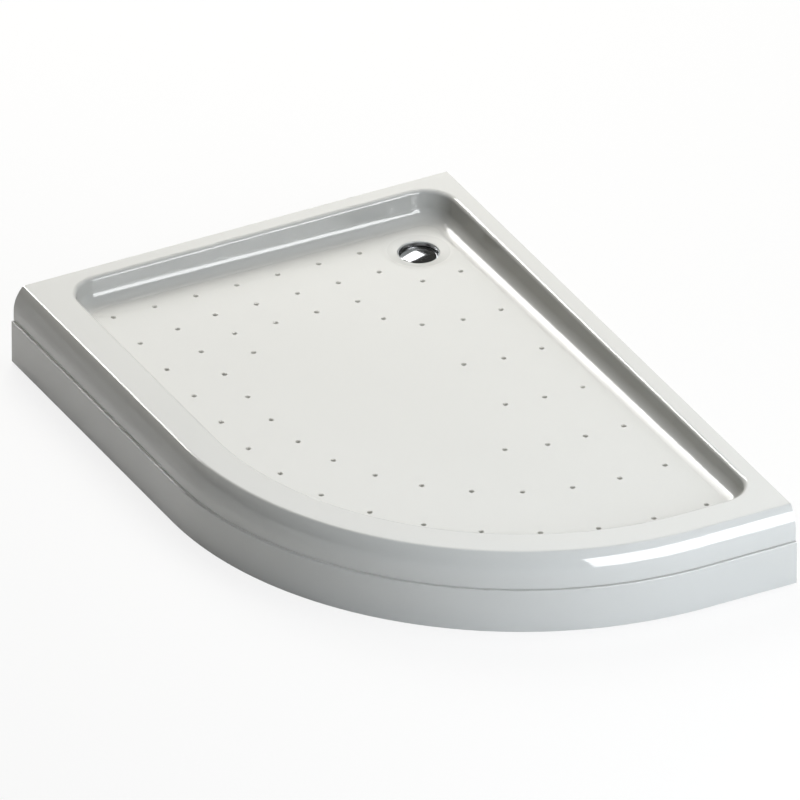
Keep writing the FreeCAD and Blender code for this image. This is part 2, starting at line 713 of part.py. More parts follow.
def waste_cover():
    """The dished chrome disc, on three legs that stand on the cup's rim."""
    top = COVER_BOTTOM + COVER_T
    disc = drain_cylinder(COVER_BOTTOM, top, SUMP_R - COVER_GAP)
    disc = disc.makeFillet(COVER_EDGE_R, [edge for edge in disc.Edges if edge.Closed])
    dish_r = SUMP_R - COVER_GAP - COVER_RIM_W
    ball_r = (dish_r**2 + COVER_DISH**2) / (2 * COVER_DISH)
    disc = disc.cut(Part.makeSphere(ball_r, vec(DRAIN_X, DRAIN_Y, top - COVER_DISH + ball_r)))
    low = CUP_RIM_TOP + COVER_LEG_GAP
    inner = CUP_BORE_R + COVER_LEG_EDGE
    outer = CUP_RIM_R - COVER_LEG_EDGE
    legs = []
    for k in range(3):
        way = (math.cos(math.radians(120 * k)), math.sin(math.radians(120 * k)))
        legs.append(bar((DRAIN_X, DRAIN_Y), way, inner, outer, COVER_LEG_W, low, COVER_BOTTOM))
    return disc.fuse(legs)


# Trap and outlet

def trap_body():
    """The bottle with its threaded collar, inner weir and outlet port."""
    bottle = drain_cylinder(TRAP_FLOOR_GAP, TRAP_TOP, TRAP_R)
    collar = drain_cylinder(TRAP_TOP - TRAP_WALL, COLLAR_TOP, COLLAR_R)
    flange = drain_cylinder(COLLAR_TOP - COLLAR_FLANGE_T, COLLAR_TOP, COLLAR_FLANGE_R)
    port = outlet_cylinder(TRAP_R - PORT_ROOT, PORT_END, PORT_R)
    bottle = bottle.fuse([collar, flange, port])
    chamber = drain_cylinder(CHAMBER_Z, TRAP_TOP - TRAP_WALL, TRAP_R - TRAP_WALL)
    throat = drain_cylinder(CHAMBER_Z, COLLAR_TOP, COLLAR_BORE_R)
    bottle = bottle.cut([chamber, throat, outlet_cylinder(WEIR_R, PORT_END, PORT_BORE_R)])
    return bottle.fuse(drain_tube(CHAMBER_Z, CHAMBER_Z + WEIR_H, WEIR_R, WEIR_R - WEIR_WALL))


def outlet_seal():
    return outlet_cylinder(PORT_END, SEAL_END, SEAL_R).cut(outlet_cylinder(PORT_END, SEAL_END, PORT_BORE_R))


def trap_outlet():
    """The plain spigot that a waste pipe's socket slides over."""
    spigot = outlet_cylinder(UNION_END, OUTLET_END, OUTLET_R)
    neck = outlet_cylinder(SEAL_END, UNION_END, OUTLET_R - OUTLET_NECK)
    flange = outlet_cylinder(SEAL_END, OUTLET_FLANGE_END, SEAL_R)
    spigot = spigot.fuse([neck, flange])
    return spigot.cut(outlet_cylinder(SEAL_END, OUTLET_END, OUTLET_BORE_R))


def outlet_union_nut():
    nut = outlet_cylinder(UNION_START, UNION_END, UNION_R)
    ribs = []
    for k in range(UNION_RIBS):
        angle = 2 * math.pi * k / UNION_RIBS
        place = vec(UNION_R * math.cos(angle), 0, UNION_R * math.sin(angle))
        ribs.append(outlet_cylinder(UNION_START, UNION_END, UNION_RIB_R).translated(place))
    nut = nut.fuse(ribs)
    nut = nut.cut(outlet_cylinder(UNION_START, UNION_FACE, UNION_BORE_R))
    return nut.cut(outlet_cylinder(UNION_FACE, UNION_END, OUTLET_R + THREAD_GAP))


# Every node, written as one file each

def nodes():
    outer_basin = basin(SHELL_T, HEIGHT - SHELL_T / 2)
    shapes = {
        "tray_shell": tray_shell(outer_basin),
        "grp_backing": grp_backing(outer_basin),
        "support_core": support_core(),
        "base_board": base_board(),
        "foot_plates": foot_plates(),
        "foot_plate_screws": wood_screws(plate_screw_places(), PLATE_BOTTOM),
        "jam_nuts": jam_nuts(),
        "apron_panel": apron_panel(),
        "apron_clips": apron_clips(),
        "apron_brackets": apron_brackets(),
        "bracket_screws": wood_screws(bracket_screw_places(), ARM_BOTTOM),
        "waste_cover": waste_cover(),
        "waste_flange": waste_flange(),
        "upper_gasket": upper_gasket(),
        "lower_gasket": lower_gasket(),
        "trap_cup": trap_cup(),
        "cup_o_ring": cup_o_ring(),
        "trap_body": trap_body(),
        "outlet_seal": outlet_seal(),
        "trap_outlet": trap_outlet(),
        "outlet_union_nut": outlet_union_nut(),
    }
    for number, (x, y) in enumerate(foot_places(), 1):
        shapes[f"foot_stud_{number}"] = foot_stud(x, y)
        shapes[f"foot_pad_{number}"] = foot_pad(x, y)
    return shapes


os.makedirs("parts", exist_ok=True)
for name, shape in nodes().items():
    shape.exportStep(f"parts/{name}.step")
    print(name, len(shape.Solids), shape.isValid(), round(shape.Volume / 1000, 1), "cm3")
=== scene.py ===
import bmesh
import bpy
import math
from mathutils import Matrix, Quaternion, Vector


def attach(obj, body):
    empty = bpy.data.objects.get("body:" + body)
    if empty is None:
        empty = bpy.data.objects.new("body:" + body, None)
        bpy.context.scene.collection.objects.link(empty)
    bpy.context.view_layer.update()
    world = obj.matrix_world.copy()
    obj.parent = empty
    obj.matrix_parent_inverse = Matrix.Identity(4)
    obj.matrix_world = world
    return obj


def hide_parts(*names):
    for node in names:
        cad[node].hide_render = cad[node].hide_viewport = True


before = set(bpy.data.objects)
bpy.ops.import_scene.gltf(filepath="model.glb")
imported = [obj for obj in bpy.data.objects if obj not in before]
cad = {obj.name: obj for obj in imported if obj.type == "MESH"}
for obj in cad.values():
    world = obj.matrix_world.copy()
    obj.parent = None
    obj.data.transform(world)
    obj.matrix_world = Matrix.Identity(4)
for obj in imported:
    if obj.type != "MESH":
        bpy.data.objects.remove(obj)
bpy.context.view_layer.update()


# Tray shell
# Rim, shoulder, lip, basin and waste recess are one sheet of white sanitary acrylic, 5 mm thick.
# The sheet is heated and drawn over a mould, so its edges are rounded and its face is glossy.
# Sizes are in millimetres, in the plan of the part: the bow is at +X and -Y, the walls at -X and +Y.

MM = 0.001
HALF_LENGTH = 600.0
HALF_WIDTH = 400.0
BOW_R = 635.0
BOW_CENTRE = Vector((HALF_LENGTH - BOW_R, BOW_R - HALF_WIDTH))
TOP = 140.0
SHEET = 5.0
RIM_WALL = 31.0
RIM_FRONT = 80.0
RIM_ROUND = 8.0
WALL_EDGE = 1.2
LIP_IN = 4.0
LIP_LOW = 79.5
LIP_EDGE = 1.4
SHOULDER_R = 62.0
SHOULDER_IN = 22.0
SHOULDER_EDGE = 5.5
BASIN_CORNER = 55.0
WALL_LEAN = math.radians(8.0)
FLOOR_ROUND = 25.0
FLOOR_AT_WASTE = 90.0
FALL_X = 0.0115
FALL_Y = 0.011
WASTE = Vector((-473.0, 281.0))
DISH_R = 61.0
DISH_EASE = 6.0
DISH_DROP = 4.0
SUMP_R = 34.5
SUMP_EDGE = 1.5
SUMP_LOW = 66.0
WASTE_HOLE = 25.0
CORNER_STEPS = 20
BOW_STEPS = 128
ROUND_STEPS = 16
WASTE_STEPS = 128
TRODDEN_WEAR = 6.0


def outline(wall, front, corner):
    """The plan, in from the wall sides and the front sides, with its three square corners rounded."""
    left, right = wall - HALF_LENGTH, HALF_LENGTH - front
    low, high = front - HALF_WIDTH, HALF_WIDTH - wall
    bow = BOW_R - front
    turns = [
        (left + corner, low + corner, corner, 180, CORNER_STEPS),
        (right - bow, low + bow, bow, 270, BOW_STEPS),
        (right - corner, high - corner, corner, 0, CORNER_STEPS),
        (left + corner, high - corner, corner, 90, CORNER_STEPS),
    ]
    points = []
    for x, y, radius, start, steps in turns:
        for step in range(steps + 1):
            angle = math.radians(start + 90 * step / steps)
            points.append(Vector((x + radius * math.cos(angle), y + radius * math.sin(angle))))
    return points


def floor_height(place):
    return FLOOR_AT_WASTE + FALL_X * (place.x - WASTE.x) + FALL_Y * (WASTE.y - place.y)


def level(wall, front, height, corner=0.0):
    return [(p.x, p.y, height) for p in outline(wall, front, corner)]


def from_rim(inset, height):
    """A level ring at a distance in from the rim's inner edge."""
    return level(RIM_WALL + inset, RIM_FRONT + inset, height, BASIN_CORNER - inset)


def basin_rings(grow):
    """Rings from the foot of the wall round to the floor, on the face or, moved out by grow, under it."""
    starts = outline(RIM_WALL, RIM_FRONT, BASIN_CORNER)
    inner = outline(RIM_WALL + 1, RIM_FRONT + 1, BASIN_CORNER - 1)
    rings = [[] for _ in range(ROUND_STEPS + 1)]
    radius = FLOOR_ROUND + grow
    for start, end in zip(starts, inner):
        way = end - start
        tilt = FALL_X * way.x - FALL_Y * way.y
        slope = math.atan(tilt)
        base = floor_height(start) - grow + radius / math.cos(slope)
        inset = FLOOR_ROUND + (TOP - base) * math.sin(WALL_LEAN)
        inset /= math.cos(WALL_LEAN) + tilt * math.sin(WALL_LEAN)
        for step, ring in enumerate(rings):
            angle = WALL_LEAN + (math.pi / 2 + slope - WALL_LEAN) * step / ROUND_STEPS
            place = start + way * (inset - radius * math.cos(angle))
            ring.append((place.x, place.y, base + tilt * inset - radius * math.sin(angle)))
    return rings


def lip_rings(skin, edge):
    """Rings from the lip's lower edge up over the shoulder to the rim, on the face or a skin under it."""
    middle = LIP_IN + SHOULDER_R
    low = TOP - math.sqrt(SHOULDER_R**2 - (middle - SHOULDER_IN) ** 2)
    radius = SHOULDER_R - skin
    edge_height = TOP - skin - edge
    edge_in = middle - math.sqrt((radius - edge) ** 2 - (edge_height - low) ** 2)
    lean = math.atan2(edge_height - low, middle - edge_in)
    profile = []
    for step in range(ROUND_STEPS * 2 + 1):
        angle = lean * step / (ROUND_STEPS * 2)
        profile.append((middle - radius * math.cos(angle), low + radius * math.sin(angle)))
    for step in range(1, ROUND_STEPS // 2 + 1):
        angle = lean + (math.pi / 2 - lean) * step / (ROUND_STEPS // 2)
        profile.append((edge_in - edge * math.cos(angle), edge_height + edge * math.sin(angle)))
    rings = []
    for inset, height in profile:
        rise = max(0.0, height - (TOP - skin - WALL_EDGE))
        wall = skin + WALL_EDGE - math.sqrt(WALL_EDGE**2 - rise**2)
        rings.append(level(wall, inset, height))
    return rings


def waste_ring(radius, height=None, drop=0.0):
    """A ring round the waste, level, or at a drop below the floor that fades to level near the recess."""
    ring = []
    for step in range(WASTE_STEPS):
        angle = 2 * math.pi * step / WASTE_STEPS
        place = WASTE + Vector((math.cos(angle), math.sin(angle))) * radius
        z = height
        if z is None:
            share = min(1.0, max(0.0, (radius - SUMP_R - SUMP_EDGE) / (DISH_R - SUMP_R - SUMP_EDGE)))
            share *= share * (3 - 2 * share)
            z = FLOOR_AT_WASTE + (floor_height(place) - FLOOR_AT_WASTE) * share - drop
        ring.append((place.x, place.y, z))
    return ring


def waste_rings():
    """From the flat of the floor down the dish and the recess, through the hole and back up outside."""
    rings = []
    slope = DISH_DROP / (DISH_R - SUMP_R - SUMP_EDGE)
    for step in range(9):
        reach = DISH_EASE * (1 - step / 4)
        drop = slope * (DISH_EASE - reach) ** 2 / (4 * DISH_EASE)
        rings.append(waste_ring(DISH_R + reach, drop=drop))
    for step in range(9):
        angle = math.pi / 2 * step / 8
        drop = DISH_DROP + SUMP_EDGE * (1 - math.cos(angle))
        rings.append(waste_ring(SUMP_R + SUMP_EDGE * (1 - math.sin(angle)), FLOOR_AT_WASTE - drop))
    for step in range(7):
        angle = math.pi / 2 * step / 6
        rings.append(waste_ring(SUMP_R - 1 + math.cos(angle), SUMP_LOW + 1 - math.sin(angle)))
    rings.append(waste_ring(WASTE_HOLE, SUMP_LOW))
    rings.append(waste_ring(WASTE_HOLE, SUMP_LOW - SHEET))
    rings.append(waste_ring(SUMP_R + SHEET, SUMP_LOW - SHEET))
    rings.append(waste_ring(SUMP_R + SHEET, FLOOR_AT_WASTE - DISH_DROP - SHEET))
    rings.append(waste_ring(DISH_R + SHEET, drop=SHEET))
    return rings


def skin_rings(mesh, rings):
    """Adds quads between closed rings of points, and gives back each ring's corners."""
    made = [[mesh.verts.new(Vector(point) * MM) for point in ring] for ring in rings]
    for one, two in zip(made, made[1:]):
        for k in range(len(one)):
            mesh.faces.new((one[k - 1], one[k], two[k], two[k - 1]))
    return made


def fill_between(mesh, *loops):
    """Fills the flat between closed loops of corners."""
    edges = []
    for loop in loops:
        for k in range(len(loop)):
            edges.append(mesh.edges.get((loop[k - 1], loop[k])) or mesh.edges.new((loop[k - 1], loop[k])))
    bmesh.ops.triangle_fill(mesh, edges=edges, use_beauty=True)


def piece(name, mesh, material, sharp=30.0):
    """Closes a mesh into one finished object, smooth but for its sharp edges."""
    bmesh.ops.remove_doubles(mesh, verts=mesh.verts, dist=1e-6)
    bmesh.ops.recalc_face_normals(mesh, faces=mesh.faces)
    data = bpy.data.meshes.new(name)
    mesh.to_mesh(data)
    mesh.free()
    data.materials.append(material)
    data.shade_smooth()
    data.set_sharp_from_angle(angle=math.radians(sharp))
    made = bpy.data.objects.new(name, data)
    bpy.context.scene.collection.objects.link(made)
    weighted = made.modifiers.new("even_faces", "WEIGHTED_NORMAL")
    weighted.keep_sharp = True
    return settle(made)


def settle(made):
    """Turns what an object's modifiers give into its plain mesh."""
    bpy.context.view_layer.update()
    data = bpy.data.meshes.new_from_object(made.evaluated_get(bpy.context.evaluated_depsgraph_get()))
    made.modifiers.clear()
    made.data = data
    data.name = made.name
    return made


def finish(name, **sockets):
    """A material with one shader, whose constant sockets are given by name."""
    material = bpy.data.materials.new(name)
    material.use_nodes = True
    shader = material.node_tree.nodes["Principled BSDF"]
    for socket, value in sockets.items():
        shader.inputs[socket.replace("_", " ")].default_value = value
    return material


def node(tree, kind, inputs={}, **settings):
    """Adds a node, with sockets joined or set by name or number."""
    made = tree.nodes.new(kind)
    for key, value in settings.items():
        setattr(made, key, value)
    for key, value in inputs.items():
        if isinstance(value, bpy.types.NodeSocket):
            tree.links.new(value, made.inputs[key])
        else:
            made.inputs[key].default_value = value
    return made


def grain(material, scale, detail=3.0, rough=0.5, stretch=(1, 1, 1)):
    """Noise on the piece's own coordinates, as a value between 0 and 1."""
    tree = material.node_tree
    place = node(tree, "ShaderNodeTexCoord").outputs["Object"]
    spread = node(tree, "ShaderNodeMapping", {"Vector": place, "Scale": stretch}).outputs["Vector"]
    sockets = {"Vector": spread, "Scale": scale, "Detail": detail, "Roughness": rough}
    return node(tree, "ShaderNodeTexNoise", sockets).outputs["Fac"]


def tint(material, value, *stops):
    """Sets the base colour from a value, by (place, colour) stops."""
    tree = material.node_tree
    ramp = node(tree, "ShaderNodeValToRGB", {"Fac": value})
    for element in list(ramp.color_ramp.elements)[1:]:
        ramp.color_ramp.elements.remove(element)
    for k, (place, colour) in enumerate(stops):
        element = ramp.color_ramp.elements[0] if k == 0 else ramp.color_ramp.elements.new(place)
        element.position = place
        element.color = (*colour, 1)
    tree.links.new(ramp.outputs["Color"], tree.nodes["Principled BSDF"].inputs["Base Color"])


def gloss(material, value, low, high):
    """Spreads the roughness between two levels by a value."""
    tree = material.node_tree
    spread = node(tree, "ShaderNodeMapRange", {"Value": value, "To Min": low, "To Max": high})
    tree.links.new(spread.outputs["Result"], tree.nodes["Principled BSDF"].inputs["Roughness"])


def relief(material, value, depth, strength=1.0):
    """Raises the surface by a value, to a depth in metres."""
    tree = material.node_tree
    bump = node(tree, "ShaderNodeBump", {"Height": value, "Distance": depth, "Strength": strength})
    tree.links.new(bump.outputs["Normal"], tree.nodes["Principled BSDF"].inputs["Normal"])


acrylic = finish("white_sanitary_acrylic", IOR=1.49)
tint(acrylic, grain(acrylic, 2.5), (0.3, (0.77, 0.77, 0.755)), (0.7, (0.79, 0.79, 0.775)))
worn = node(acrylic.node_tree, "ShaderNodeAttribute", attribute_name="trodden").outputs["Fac"]
wear = node(acrylic.node_tree, "ShaderNodeMath", {0: worn, 1: TRODDEN_WEAR}, operation="MULTIPLY").outputs[0]
patchy = grain(acrylic, 9.0, detail=6.0)
patch = node(acrylic.node_tree, "ShaderNodeMath", {0: patchy, 1: wear}, operation="ADD")
gloss(acrylic, patch.outputs[0], 0.03, 0.075)
acrylic.node_tree.nodes["Map Range"].clamp = False
relief(acrylic, grain(acrylic, 90.0, detail=1.0), 0.00002, 0.35)

shell_mesh = bmesh.new()
trodden = shell_mesh.verts.layers.float.new("trodden")
rim_round_in = (RIM_ROUND * math.sin(WALL_LEAN) - RIM_ROUND) / math.cos(WALL_LEAN)
face_rings = [level(SHEET, LIP_IN + SHEET, LIP_LOW)]
for step in range(ROUND_STEPS // 2 + 1):
    angle = math.pi / 2 * step / (ROUND_STEPS // 2)
    inset = LIP_EDGE - LIP_EDGE * math.sin(angle)
    face_rings.append(level(inset, LIP_IN + inset, LIP_LOW + LIP_EDGE - LIP_EDGE * math.cos(angle)))
face_rings += lip_rings(0.0, SHOULDER_EDGE)
for step in range(ROUND_STEPS // 2 + 1):
    angle = math.pi / 2 + (WALL_LEAN - math.pi / 2) * step / (ROUND_STEPS // 2)
    inset = rim_round_in + RIM_ROUND * math.cos(angle)
    face_rings.append(from_rim(inset, TOP - RIM_ROUND + RIM_ROUND * math.sin(angle)))
face_rings += basin_rings(0.0)
under_top = SHEET * math.tan(WALL_LEAN) - SHEET / math.cos(WALL_LEAN)
under_rings = basin_rings(SHEET)[::-1] + [from_rim(under_top, TOP - SHEET)]
under_rings += lip_rings(SHEET, 1.0)[::-1] + [face_rings[0]]
face = skin_rings(shell_mesh, face_rings)
under = skin_rings(shell_mesh, under_rings)
waste = skin_rings(shell_mesh, waste_rings())
for step, ring in enumerate(face[-ROUND_STEPS:] + waste[:9]):
    for corner in ring:
        corner[trodden] = min(1.0, (step / ROUND_STEPS) ** 2)
fill_between(shell_mesh, face[-1], waste[0])
fill_between(shell_mesh, under[0], waste[-1])
shell = piece("shell", shell_mesh, acrylic)
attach(shell, "tray")
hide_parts("tray_shell")


# Anti-slip bumps
# Low domes 9 mm across, moulded into the floor in three rings that follow the walls and the bow.
# They are of the same acrylic, and stand 2.2 mm high.

BUMP_D = 9.0
BUMP_H = 2.2
BUMP_ROOT = 0.8
BACK_ROWS = ((90.4, 7), (160.3, 5))
BACK_FIRST = 218.7
BACK_PITCH = 140.4
SIDE_ROWS = ((91.5, 0, 7), (160.5, 0, 5), (228.3, 1, 4))
SIDE_FIRST = 209.5
SIDE_PITCH = 75.2
FRONT_ROWS = ((139.0, 94.8), (214.5, 81.9))
FRONT_FIRST = 91.5
BOW_ROWS = (
    (BOW_R - 139.0, 90.0, 10.95, 1, Vector((0, 0))),
    (416.7, 79.5, 11.27, 0, Vector((-58, -5))),
)
INNER_ROW = [(343.0 + 144.3 * k, 227.0) for k in range(4)]
INNER_ROW += [(297.0, 273.5), (297.0, 511.6), (758.6, 296.0)]


def bump_places():
    """Each bump's place in the plan, ring by ring from the walls inwards."""
    places = []

    def add(from_left, from_back):
        places.append(Vector((from_left - HALF_LENGTH, HALF_WIDTH - from_back)))

    for back, count in BACK_ROWS:
        for k in range(count):
            add(BACK_FIRST + BACK_PITCH * k, back)
    for side, first, count in SIDE_ROWS:
        for k in range(first, first + count):
            add(side, SIDE_FIRST + SIDE_PITCH * k)
    for front, pitch in FRONT_ROWS:
        for k in range(1, 6):
            add(FRONT_FIRST + pitch * k, 2 * HALF_WIDTH - front)
    for reach, start, step, first, move in BOW_ROWS:
        for k in range(first, first + 8):
            angle = math.radians(start - step * k)
            places.append(BOW_CENTRE + move + Vector((math.cos(angle), -math.sin(angle))) * reach)
    for from_left, from_back in INNER_ROW:
        add(from_left, from_back)
    return places


def spots(name, places):
    """An object with one loose point at each place, for instances to stand on."""
    data = bpy.data.meshes.new(name)
    data.from_pydata([Vector(place) * MM for place in places], [], [])
    made = bpy.data.objects.new(name, data)
    bpy.context.scene.collection.objects.link(made)
    return made


def rule(name, **sizes):
    """A Geometry Nodes tree with a geometry input, a named input for each size, and an output."""
    tree = bpy.data.node_groups.new(name, "GeometryNodeTree")
    tree.interface.new_socket("Geometry", in_out="INPUT", socket_type="NodeSocketGeometry")
    for size in sizes:
        tree.interface.new_socket(size, in_out="INPUT", socket_type="NodeSocketFloat")
    tree.interface.new_socket("Geometry", in_out="OUTPUT", socket_type="NodeSocketGeometry")
    return tree, tree.nodes.new("NodeGroupInput"), sizes


def sum_of(tree, operation, *values):
    """A Math node's value."""
    return node(tree, "ShaderNodeMath", dict(enumerate(values)), operation=operation).outputs[0]


def grow_rule(made, tree, sizes, geometry, points, material):
    """Stands the geometry on every point, makes it real, and settles the object's mesh."""
    stood = node(tree, "GeometryNodeInstanceOnPoints", {"Points": points, "Instance": geometry})
    real = node(tree, "GeometryNodeRealizeInstances", {"Geometry": stood.outputs["Instances"]})
    painted = node(
        tree, "GeometryNodeSetMaterial", {"Geometry": real.outputs["Geometry"], "Material": material}
    )
    node(tree, "NodeGroupOutput", {"Geometry": painted.outputs["Geometry"]})
    modifier = made.modifiers.new(tree.name, "NODES")
    modifier.node_group = tree
    for item in tree.interface.items_tree:
        if item.in_out == "INPUT" and item.name in sizes:
            modifier[item.identifier] = sizes[item.name] * MM
    settle(made)
    made.data.materials.clear()
    made.data.materials.append(material)
    return made


def dome(tree, across, rise, steps, rings, fill):
    """A round dome of this width that rises from nought, its top at rise."""
    radius = sum_of(tree, "MULTIPLY", across, 0.5)
    cone = node(
        tree, "GeometryNodeMeshCone",
        {"Vertices": steps, "Side Segments": rings, "Radius Top": 0.0, "Radius Bottom": radius,
         "Depth": 0.001},
        fill_type=fill,
    )
    spot = node(tree, "GeometryNodeInputPosition").outputs[0]
    at = node(tree, "ShaderNodeSeparateXYZ", {"Vector": spot}).outputs
    squares = [sum_of(tree, "MULTIPLY", at[axis], at[axis]) for axis in ("X", "Y")]
    square = sum_of(tree, "ADD", *squares)
    share = sum_of(tree, "DIVIDE", square, sum_of(tree, "MULTIPLY", radius, radius))
    height = sum_of(tree, "MULTIPLY", rise, sum_of(tree, "SUBTRACT", 1.0, share))
    place = node(tree, "ShaderNodeCombineXYZ", {"X": at["X"], "Y": at["Y"], "Z": height}).outputs[0]
    shaped = node(tree, "GeometryNodeSetPosition", {"Geometry": cone.outputs["Mesh"], "Position": place})
    return shaped.outputs["Geometry"]


bump_spots = spots("floor_bumps", [(p.x, p.y, floor_height(p) - BUMP_ROOT) for p in bump_places()])
tree, given, sizes = rule(
    "bump_rule",
    Across=BUMP_D * math.sqrt((BUMP_H + BUMP_ROOT) / BUMP_H),
    Rise=BUMP_H + BUMP_ROOT,
)
cap = dome(tree, given.outputs["Across"], given.outputs["Rise"], 32, 8, "NONE")
smooth = node(tree, "GeometryNodeSetShadeSmooth", {"Geometry": cap}).outputs["Geometry"]
bumps = grow_rule(bump_spots, tree, sizes, smooth, given.outputs["Geometry"], acrylic)
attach(bumps, "tray")


# Fibreglass, filler and base board
# Chopped-strand fibreglass stiffens the underside of the sheet, a resin filler levels the fall of the floor,
# and a chipboard panel is bonded under that for the feet and brackets to be screwed to.

fibreglass = finish("chopped_strand_fibreglass", IOR=1.52)
strands = grain(fibreglass, 120.0, detail=4.0, rough=0.7, stretch=(1, 0.25, 1))
crossed = grain(fibreglass, 120.0, detail=4.0, rough=0.7, stretch=(0.25, 1, 1))
mat = sum_of(fibreglass.node_tree, "MAXIMUM", strands, crossed)
tint(fibreglass, mat, (0.42, (0.46, 0.42, 0.29)), (0.56, (0.66, 0.63, 0.50)), (0.68, (0.80, 0.78, 0.69)))
gloss(fibreglass, mat, 0.25, 0.6)
relief(fibreglass, mat, 0.0008, 0.8)
cad["grp_backing"].data.materials[0] = fibreglass

filler = finish("resin_filler")
pores = grain(filler, 160.0, detail=5.0, rough=0.65)
tint(filler, pores, (0.35, (0.40, 0.385, 0.34)), (0.6, (0.60, 0.585, 0.53)))
gloss(filler, pores, 0.6, 0.9)
relief(filler, pores, 0.0006, 0.7)
cad["support_core"].data.materials[0] = filler

chipboard = finish("chipboard")
place = node(chipboard.node_tree, "ShaderNodeTexCoord").outputs["Object"]
chips = node(
    chipboard.node_tree, "ShaderNodeTexVoronoi", {"Vector": place, "Scale": 260.0, "Randomness": 1.0}
).outputs["Color"]
shade = node(chipboard.node_tree, "ShaderNodeSeparateColor", {"Color": chips}).outputs["Red"]
blotch = sum_of(chipboard.node_tree, "ADD", sum_of(chipboard.node_tree, "MULTIPLY", shade, 0.6),
                sum_of(chipboard.node_tree, "MULTIPLY", grain(chipboard, 24.0, detail=6.0), 0.4))
tint(chipboard, blotch, (0.2, (0.25, 0.165, 0.09)), (0.5, (0.43, 0.31, 0.18)), (0.8, (0.58, 0.45, 0.29)))
gloss(chipboard, blotch, 0.65, 0.9)
relief(chipboard, blotch, 0.0003, 0.6)
cad["base_board"].data.materials[0] = chipboard


# Levelling feet
# Zinc-plated plates with a welded nut are screwed under the board, and a jam nut locks the M12 stud in each.
# The stud's rolled thread is turned by hand, and its black moulded pad stands on the floor.

FEET = [(-480, -230), (-480, 66), (-258, 280), (61, 280), (380, 280), (-35, -230)]
BOW_WAY = Vector((math.sqrt(0.5), -math.sqrt(0.5)))
BOW_FOOT_REACH = 400
bow_foot = BOW_CENTRE + BOW_WAY * BOW_FOOT_REACH
FEET += [tuple(bow_foot), ((FEET[1][0] + bow_foot.x) / 2, (FEET[1][1] + bow_foot.y) / 2)]
STUD_R = 6.0
STUD_LOW = 4.0
STUD_TOP = 66.0
THREAD_PITCH = 1.75
THREAD_DEPTH = 0.95
THREAD_STEPS = 24
THREAD_RINGS = 5
THREAD_CREST = 1.6
PLATE_LOW = 57.0

zinc = finish("zinc_plated_steel", Metallic=1.0)
place = node(zinc.node_tree, "ShaderNodeTexCoord").outputs["Object"]
spangle = node(
    zinc.node_tree, "ShaderNodeTexVoronoi", {"Vector": place, "Scale": 240.0, "Randomness": 1.0}
).outputs["Color"]
flake = node(zinc.node_tree, "ShaderNodeSeparateColor", {"Color": spangle}).outputs["Green"]
tint(zinc, flake, (0.1, (0.50, 0.51, 0.52)), (0.9, (0.63, 0.64, 0.64)))
gloss(zinc, flake, 0.26, 0.44)
relief(zinc, grain(zinc, 700.0), 0.00008, 0.4)
for name in ("foot_plates", "jam_nuts", "apron_brackets"):
    cad[name].data.materials[0] = zinc

pad_plastic = finish("black_pad_plastic", IOR=1.5)
speckle = grain(pad_plastic, 900.0, detail=2.0)
tint(pad_plastic, grain(pad_plastic, 30.0), (0.3, (0.028, 0.028, 0.030)), (0.7, (0.045, 0.045, 0.047)))
gloss(pad_plastic, speckle, 0.42, 0.58)
relief(pad_plastic, speckle, 0.0001, 0.6)


def thread_reach(turn, height):
    """How far the rolled thread stands from its axis, at a turn from 0 to 1 and a height."""
    phase = (height / THREAD_PITCH - turn) % 1.0
    ridge = min(1.0, max(0.0, THREAD_CREST - 2 * THREAD_CREST * abs(phase - 0.5)))
    end = min(1.0, (height - STUD_LOW) / THREAD_PITCH, (STUD_TOP - height) / THREAD_PITCH)
    return (STUD_R - THREAD_DEPTH) + THREAD_DEPTH * ridge * max(0.0, end)


def stud_mesh(x, y):
    """A rod whose wall follows the thread, closed by a flat at each end."""
    mesh = bmesh.new()
    count = round((STUD_TOP - STUD_LOW) / THREAD_PITCH * THREAD_RINGS)
    rings = []
    for k in range(count + 1):
        height = STUD_LOW + (STUD_TOP - STUD_LOW) * k / count
        ring = []
        for step in range(THREAD_STEPS):
            angle = 2 * math.pi * step / THREAD_STEPS
            reach = thread_reach(step / THREAD_STEPS, height)
            ring.append((x + reach * math.cos(angle), y + reach * math.sin(angle), height))
        rings.append(ring)
    made = skin_rings(mesh, rings)
    mesh.faces.new(made[0])
    mesh.faces.new(made[-1])
    return mesh


for number, (x, y) in enumerate(FEET, 1):
    stud = piece(f"threaded_stud_{number}", stud_mesh(x, y), zinc, 50.0)
    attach(stud, f"foot_{number}")
    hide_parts(f"foot_stud_{number}")
    cad[f"foot_pad_{number}"].data.materials[0] = pad_plastic


# Wood screws
# Pan-head screws with a cross recess hold the foot plates and the apron's brackets to the board.
# They are zinc plated, and driven from below until the head bears on the steel.

SCREW_HEAD_D = 8.4
SCREW_HEAD_H = 2.6
RECESS_L = 4.6
RECESS_W = 1.1
RECESS_D = 1.5
SHANK_D = 4.0
SHANK_L = 15.0
PLATE_REACH = 22.0
BOW_POST_REACH = 601
BRACKET_SCREWS = (131.0, 106.0)
BRACKETS = [
    (Vector((-380, -366)), Vector((0, -1))),
    (Vector((-150, -366)), Vector((0, -1))),
    (BOW_CENTRE + BOW_WAY * BOW_POST_REACH, BOW_WAY),
    (Vector((566, 300)), Vector((1, 0))),
]

